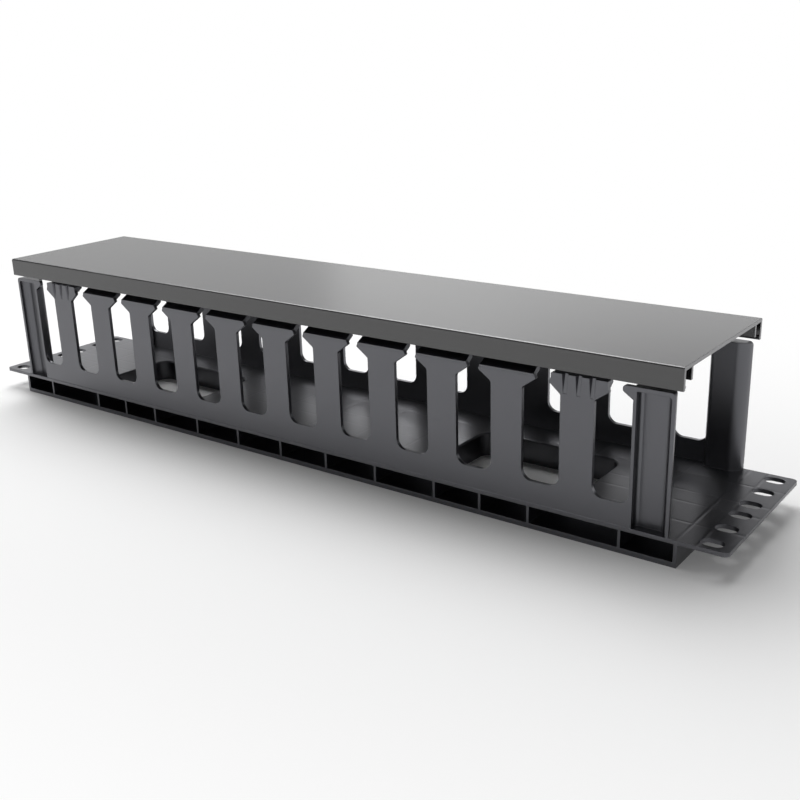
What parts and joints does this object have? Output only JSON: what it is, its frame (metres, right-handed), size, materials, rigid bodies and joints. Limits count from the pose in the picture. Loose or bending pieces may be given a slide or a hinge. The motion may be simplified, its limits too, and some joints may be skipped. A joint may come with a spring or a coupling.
{
  "type": "horizontal cable manager",
  "caption": "Finger-duct cable manager that bolts across a 19-inch rack and carries patch cables under a cover that clips on.",
  "frame": {"origin": "centre of the bounding box's underside, on the plane of the rear rim that it rests on", "axes": "+X along the rack's width, +Y up the rack as mounted, +Z out of the rack's face towards the cover"},
  "size_m": [0.4826, 0.0888, 0.0866],
  "materials": {
    "black_abs": "satin moulded black ABS with a fine grain"
  },
  "bodies": {
    "base": {"duct_base": "black_abs"},
    "cover": {"duct_cover": "black_abs"}
  },
  "joints": [
    {"name": "cover_lift", "type": "slide", "parent": "base", "child": "cover", "axis": [0, 0, 1], "range_m": [0, 0.05]}
  ]
}
